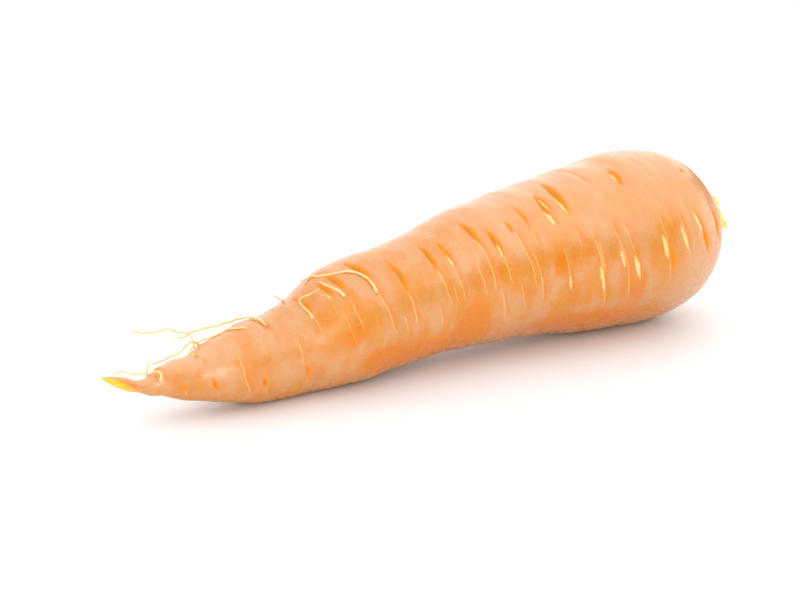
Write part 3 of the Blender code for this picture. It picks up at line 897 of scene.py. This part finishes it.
def rootlet_path(points, seed):
    """The rootlet's centre line, which wanders a little as fine roots do."""
    knots = rootlet_knots(points)
    places = [on_skin(along, angle, lift + PLACE_LIFT) for along, angle, lift in knots]
    rows = smooth_curve(knots, places, [PATH_STEPS] * (len(knots) - 1))
    dense = np.array([on_skin(*row) for row in rows])
    steps = np.r_[0.0, np.cumsum(np.linalg.norm(np.diff(dense, axis=0), axis=1))]
    wanted = np.linspace(0.0, steps[-1], max(ROOTLET_FEWEST, int(steps[-1] / ROOTLET_STEP)))
    path = np.column_stack([np.interp(wanted, steps, dense[:, column]) for column in range(3)])
    lift = np.interp(wanted, steps, rows[:, 2])
    free = ROOTLET_KINK * smoothstep(*KINK_START, wanted) * np.clip(KINK_LEAST + lift, KINK_LEAST, 1.0)
    rng = np.random.default_rng(seed)
    for axis in range(3):
        wander = sum(np.sin(wanted * 2 * pi / rng.uniform(*KINK_LENGTHS) + rng.uniform(*PHASE))
                     for _ in range(KINK_COUNT))
        path[:, axis] += free * wander / 2
    return path


def tube_rings(path, radii, sides):
    """Rings round a path, carried along it without twist."""
    tangent = np.gradient(path, axis=0)
    tangent /= np.linalg.norm(tangent, axis=1)[:, None]
    across = np.cross(tangent[0], RING_START)
    turns = np.arange(sides) * 2 * pi / sides
    rings = []
    for centre, along, radius in zip(path, tangent, radii):
        across = across - along * (across @ along)
        across /= np.linalg.norm(across)
        up = np.cross(across, along)
        rings.append(centre + radius * (np.cos(turns)[:, None] * across + np.sin(turns)[:, None] * up))
    return np.array(rings)


def make_rootlet(number, thickness, points, material, shift):
    path = rootlet_path(points, PATH_SEED + number)
    t = np.linspace(0, 1, len(path))
    rng = np.random.default_rng(KNOB_SEED + number)
    knobs = 1.0 + sum(depth * np.sin(t * rng.uniform(*rates)) for depth, *rates in ROOTLET_KNOBS)
    foot = 1.0 + ROOTLET_FOOT * np.exp(-t * len(path) / FOOT_RINGS)
    radii = thickness / 2 * (1 - (1 - ROOTLET_TAPER) * t) * knobs * foot
    radii[-len(ROOTLET_CLOSING):] *= ROOTLET_CLOSING
    rings = tube_rings(path, radii, ROOTLET_SIDES) + shift
    spread = np.repeat(t[:, None], ROOTLET_SIDES, axis=1)
    piece = tube_object(f"fine_root_{number:02d}", rings, material, {"spread": spread}, uv=False)
    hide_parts(f"rootlet_{number:02d}")
    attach(piece, "root")


# ==== materials

def screen_colour(rgb):
    """A linear colour from 8-bit screen values."""
    c = np.array(rgb) / 255.0
    linear = np.where(c <= 0.04045, c / 12.92, ((c + 0.055) / 1.055) ** 2.4)
    return (*[float(v) for v in linear], 1.0)


class Shader:
    """A material's node tree, built one node at a time."""

    def __init__(self, name):
        self.material = bpy.data.materials.new(name)
        self.material.use_nodes = True
        self.tree = self.material.node_tree
        self.surface = self.tree.nodes["Principled BSDF"]

    def feed(self, socket, value):
        if isinstance(value, bpy.types.NodeSocket):
            self.tree.links.new(value, socket)
        else:
            socket.default_value = value

    def add(self, kind, inputs, **settings):
        node = self.tree.nodes.new(kind)
        for key, value in settings.items():
            setattr(node, key, value)
        for key, value in inputs.items():
            self.feed(node.inputs[key], value)
        return node

    def field(self, name):
        return self.add("ShaderNodeAttribute", {}, attribute_name=name).outputs["Fac"]

    def maths(self, operation, a, b=0.0):
        return self.add("ShaderNodeMath", {0: a, 1: b}, operation=operation).outputs[0]

    def times(self, a, b):
        return self.maths("MULTIPLY", a, b)

    def step(self, value, low, high, start=0.0, end=1.0):
        inputs = {"Value": value, "From Min": low, "From Max": high, "To Min": start, "To Max": end}
        return self.add("ShaderNodeMapRange", inputs, interpolation_type="SMOOTHSTEP").outputs[0]

    def mix(self, factor, a, b):
        node = self.add("ShaderNodeMix", {0: factor}, data_type="RGBA")
        for index, value in ((6, a), (7, b)):
            self.feed(node.inputs[index], screen_colour(value) if isinstance(value, tuple) else value)
        return node.outputs[2]

    def noise(self, size, detail, stretch):
        """Noise whose spots are about that many mm across, times stretch along each axis."""
        place = self.add("ShaderNodeTexCoord", {}).outputs["Object"]
        scale = tuple(1.0 / (size * MM * s) for s in stretch)
        vector = self.add("ShaderNodeMapping", {"Vector": place, "Scale": scale}).outputs[0]
        inputs = {"Vector": vector, "Scale": 1.0, "Detail": detail, "Roughness": NOISE_ROUGHNESS}
        return self.add("ShaderNodeTexNoise", inputs).outputs["Fac"]

    def pattern(self, size, detail, stretch, low, high):
        """Noise turned into patches: none where it is low, full where it is high."""
        return self.step(self.noise(size, detail, stretch), low, high)

    def bump(self, height, depth, normal=None):
        inputs = {"Height": height, "Distance": depth * MM, "Strength": 1.0}
        if normal is not None:
            inputs["Normal"] = normal
        return self.add("ShaderNodeBump", inputs).outputs[0]

    def relief(self, row, mask=None, normal=None):
        """Fine relief from a row of noise that ends with its depth, on top of another normal."""
        *noise, depth = row
        height = self.noise(*noise)
        if mask is not None:
            height = self.times(mask, height)
        return self.bump(height, depth, normal)

    def set(self, **inputs):
        for key, value in inputs.items():
            self.feed(self.surface.inputs[key.replace("_", " ")], value)


def skin_colour(shader):
    """The plain skin's orange: pale and deep patches, paler ends, painted sheen on top of tail and body.
    """
    colour = shader.mix(shader.pattern(*SKIN_PATCHES), SKIN_MID, SKIN_PALE)
    colour = shader.mix(shader.times(shader.pattern(*SKIN_CLOUDS), CLOUD_MIX), colour, SKIN_DEEP)
    tone = shader.field("tone")
    colour = shader.mix(shader.step(tone, *TONE_PALE), colour, SKIN_PALE)
    colour = shader.mix(shader.step(tone, *TONE_DEEP), colour, SKIN_DEEP)
    # Paler tail and shoulder, and painted sheen on top of the tail and body.
    return shader.mix(shader.field("pale"), colour, PALE_SKIN_AND_SHEEN)


def hollow_mask(shader, flecks):
    """Where the hollows are, a little mottled."""
    mottled = shader.step(flecks, *HOLLOW_MOTTLE)
    return shader.times(shader.step(shader.field("gold_and_shade"), *HOLLOW_EDGE), mottled)


def line_mask(shader, flecks):
    """Where the lines are, broken up by flecks."""
    across = shader.maths("ABSOLUTE", shader.field("line_across"))
    line = shader.times(shader.step(across, *LINE_EDGE), shader.field("line"))
    return shader.times(line, shader.step(flecks, *LINE_BREAKS))


def scar_mask(shader, flecks):
    """Where the scars are, with ragged edges."""
    ragged = shader.times(flecks, SCAR_RAGGED)
    return shader.step(shader.maths("ADD", shader.field("scar"), ragged), *SCAR_EDGE)


def marked_colour(shader, colour, hollow, line, scar):
    """The skin's colour with all the marks on it, and painted shade beside the lines and scars."""
    # Painted shade: deeper orange beside the lines and scars, towards the crown.
    colour = shader.mix(shader.times(shader.field("shade"), SHADE_MIX), colour, SKIN_DEEP)
    # The hollows' gold and darker middle: partly the skin's own colour, partly painted shade.
    colour = shader.mix(hollow, colour, HOLLOW_GOLD_AND_SHADE)
    colour = shader.mix(shader.step(shader.field("gold_and_shade"), *HOLLOW_MIDDLE), colour, HOLLOW_CORE_AND_SHADE)
    colour = shader.mix(shader.times(line, LINE_MIX), colour, LINE_COLOUR)
    return shader.mix(shader.times(scar, SCAR_MIX), colour, SCAR_COLOUR)


def crown_colour(shader, skin):
    """The skin's colour, turned to tan and olive in the crown's dimple."""
    colour = shader.mix(shader.pattern(*CROWN_SPOTS), CROWN_TAN, CROWN_GREEN)
    return shader.mix(shader.times(shader.field("crown"), CROWN_MIX), skin, colour)


def snap_colour(shader, skin):
    """The skin's colour, turned to the core's raw yellow where the tail is broken off."""
    core = shader.mix(shader.pattern(*CORE_FIBRES), SNAP_COLOUR, SNAP_DARK)
    return shader.mix(shader.field("snap"), skin, core)


def skin_roughness(shader, hollow):
    """Glossy skin, duller in hollows, beside marks and in the crown."""
    rough = shader.step(shader.noise(*SKIN_GLOSS_NOISE), *ROUGH_SPOTS, *SKIN_ROUGHNESS)
    masks = {"hollow": hollow, "shade": shader.field("shade"), "crown": shader.field("crown")}
    for name, mask in masks.items():
        rough = shader.maths("ADD", rough, shader.times(mask, ADDED_ROUGHNESS[name]))
    return rough


def skin_material():
    shader = Shader("carrot_skin_look")
    flecks = shader.noise(*FLECKS)
    hollow = hollow_mask(shader, flecks)
    scar = scar_mask(shader, flecks)
    colour = marked_colour(shader, skin_colour(shader), hollow, line_mask(shader, flecks), scar)
    colour = snap_colour(shader, crown_colour(shader, colour))
    normal = shader.relief(SKIN_GRAIN)
    normal = shader.relief(SKIN_RIPPLES, normal=normal)
    normal = shader.relief(SCAR_CORK, mask=scar, normal=normal)
    shader.set(Base_Color=colour, Roughness=skin_roughness(shader, hollow), Normal=normal,
               Subsurface_Weight=0.18, Subsurface_Radius=(1.0, 0.45, 0.18), Subsurface_Scale=0.0022,
               Specular_IOR_Level=0.6)
    return shader.material


def stalk_material():
    """Pale green, streaked stalks, brown at the foot, with a dry edge round the cut."""
    shader = Shader("leaf_stalk_look")
    rise = shader.field("rise")
    streaks = shader.pattern(*STALK_STREAKS)
    colour = shader.mix(shader.step(rise, *STALK_RISE), STALK_PALE, STALK_GREEN)
    colour = shader.mix(shader.times(streaks, STREAK_MIX), colour, STALK_PALE)
    colour = shader.mix(shader.times(shader.step(rise, *STALK_FOOT), FOOT_MIX), colour, STALK_BROWN)
    face = shader.mix(shader.pattern(*STALK_BUNDLES), STALK_PALE, STALK_GREEN)
    colour = shader.mix(shader.field("cut"), colour, face)
    dry = shader.times(shader.pattern(*STALK_DRY_SPOTS), shader.step(rise, *STALK_TOP))
    colour = shader.mix(shader.times(dry, DRY_MIX), colour, STALK_BROWN)
    shader.set(Base_Color=colour, Roughness=shader.step(streaks, 0.0, 1.0, *STALK_ROUGHNESS),
               Normal=shader.relief(STALK_GRAIN), Subsurface_Weight=0.15,
               Subsurface_Radius=(0.7, 0.8, 0.25), Subsurface_Scale=0.001)
    return shader.material


def rootlet_material():
    """Cream rootlets with tan spots, orange at their base."""
    shader = Shader("rootlet_look")
    spots = shader.pattern(*ROOTLET_SPOTS)
    colour = shader.mix(shader.times(spots, TAN_MIX), ROOTLET_PALE, ROOTLET_TAN)
    colour = shader.mix(shader.step(shader.field("spread"), *ROOTLET_BASE), colour, SKIN_PALE)
    shader.set(Base_Color=colour, Roughness=shader.step(spots, 0.0, 1.0, *ROOTLET_ROUGHNESS),
               Normal=shader.relief(ROOTLET_GRAIN), Subsurface_Weight=0.2,
               Subsurface_Radius=(0.6, 0.4, 0.2), Subsurface_Scale=0.0006)
    return shader.material


def floor_material():
    shader = Shader("floor_look")
    rough = shader.step(shader.noise(*FLOOR_NOISE), *ROUGH_SPOTS, *FLOOR_ROUGHNESS)
    shader.set(Base_Color=screen_colour(FLOOR_COLOUR), Roughness=rough, Specular_IOR_Level=0.2)
    return shader.material


# ==== the stage

def make_floor():
    mesh = bpy.data.meshes.new("floor")
    quarters = [(-1, -1), (1, -1), (1, 1), (-1, 1)]
    corners = [(FLOOR_HALF * x, FLOOR_HALF * y, -FLOOR_DROP * MM) for x, y in quarters]
    mesh.from_pydata(corners, [], [(0, 1, 2, 3)])
    mesh.materials.append(floor_material())
    floor = linked("floor", mesh)


def add_area_light(name, size, radiance, place, aim):
    """A soft panel of that radiance. One right over its aim faces down already."""
    data = bpy.data.lights.new(name, "AREA")
    data.shape = "RECTANGLE"
    data.size, data.size_y = size
    data.energy = radiance * pi * size[0] * size[1]
    light = linked(name, data)
    light.location = place
    if aim[:2] != place[:2]:
        light.rotation_euler = (Vector(aim) - Vector(place)).to_track_quat("-Z", "Y").to_euler()


def make_lights():
    world = bpy.data.worlds.new("studio")
    world.use_nodes = True
    background = world.node_tree.nodes["Background"]
    background.inputs["Color"].default_value = (1.0, 1.0, 1.0, 1.0)
    background.inputs["Strength"].default_value = WORLD_STRENGTH
    bpy.context.scene.world = world
    for softbox in SOFTBOXES:
        add_area_light(*softbox)


def make_camera(shift):
    turn, down = radians(CAMERA_TURN), radians(CAMERA_DOWN)
    forward = Vector((-sin(turn) * cos(down), cos(turn) * cos(down), -sin(down)))
    data = bpy.data.cameras.new("camera")
    data.lens = CAMERA_LENS
    data.clip_start = CAMERA_NEAREST
    camera = linked("camera", data)
    aim = (Vector(CAMERA_AIM) + Vector(shift)) * MM
    camera.location = aim - forward * CAMERA_DISTANCE * MM
    camera.rotation_euler = forward.to_track_quat("-Z", "Y").to_euler()
    bpy.context.scene.camera = camera


def build():
    bpy.context.scene.view_settings.view_transform = "Standard"
    shift = make_skin(skin_material())
    make_crown(stalk_material(), shift)
    rootlet = rootlet_material()
    for number, (thickness, points) in enumerate(ROOTLETS, 1):
        make_rootlet(number, thickness, points, rootlet, shift)
    make_floor()
    make_lights()
    make_camera(shift)


build()
